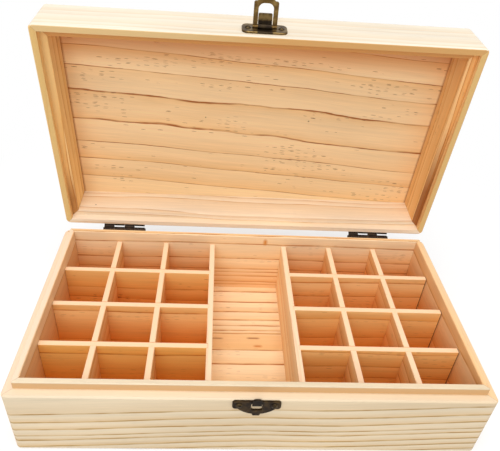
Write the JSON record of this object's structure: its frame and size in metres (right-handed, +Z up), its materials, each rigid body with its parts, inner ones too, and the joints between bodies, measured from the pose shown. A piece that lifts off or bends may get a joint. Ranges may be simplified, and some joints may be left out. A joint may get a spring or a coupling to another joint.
{
  "type": "wooden storage box",
  "caption": "Oblong pine box with a hinged lid, a raised lip round the mouth, rows of small cells beside an open middle well, and a small hasp and catch.",
  "frame": {"origin": "middle of the case's flat underside", "axes": "+X to the right along the box's length, +Y to the back where the hinges are, +Z up"},
  "size_m": [0.3, 0.2089, 0.2412],
  "materials": {
    "pine_case": "sanded, unvarnished pine, pale cream to orange",
    "pine_floor": "sanded, unvarnished glued-up pine strips",
    "pine_divider": "sanded, unvarnished pine slats",
    "pine_lid": "sanded, unvarnished pine",
    "pine_panel": "sanded, unvarnished pine panel with resin flecks",
    "antique_bronze": "antique bronze plating, rubbed lighter on raised edges",
    "dark_bronze": "nearly black bronzed steel"
  },
  "bodies": {
    "base": {"base_back_wall": "pine_case", "base_floor_panel": "pine_floor", "base_front_wall": "pine_case", "base_left_wall": "pine_case", "base_right_wall": "pine_case", "catch_plate": "antique_bronze", "catch_screws": "antique_bronze", "hinge_left_base_leaf": "dark_bronze", "hinge_left_base_screws": "dark_bronze", "hinge_left_pin": "dark_bronze", "hinge_right_base_leaf": "dark_bronze", "hinge_right_base_screws": "dark_bronze", "hinge_right_pin": "dark_bronze", "left_cross_divider_back": "pine_divider", "left_cross_divider_front": "pine_divider", "left_cross_divider_middle": "pine_divider", "left_inner_divider": "pine_divider", "left_outer_divider": "pine_divider", "right_cross_divider_back": "pine_divider", "right_cross_divider_front": "pine_divider", "right_cross_divider_middle": "pine_divider", "right_inner_divider": "pine_divider", "right_outer_divider": "pine_divider", "well_left_divider": "pine_divider", "well_right_divider": "pine_divider"},
    "lid": {"hasp_plate": "antique_bronze", "hasp_screws": "antique_bronze", "hinge_left_lid_leaf": "dark_bronze", "hinge_left_lid_screws": "dark_bronze", "hinge_right_lid_leaf": "dark_bronze", "hinge_right_lid_screws": "dark_bronze", "lid_back_wall": "pine_lid", "lid_front_wall": "pine_lid", "lid_left_wall": "pine_lid", "lid_panel": "pine_panel", "lid_right_wall": "pine_lid"},
    "hasp_loop": {"hasp_loop": "antique_bronze"}
  },
  "joints": [
    {"name": "lid_hinge", "type": "hinge", "parent": "base", "child": "lid", "pos_m": [0, 0.08595, 0.0518], "axis": [1, 0, 0], "range_deg": [0, 85]},
    {"name": "loop_hinge", "type": "hinge", "parent": "lid", "child": "hasp_loop", "pos_m": [0, 0.08352, 0.22239], "axis": [1, 0, 0], "range_deg": [-90, 90]}
  ]
}
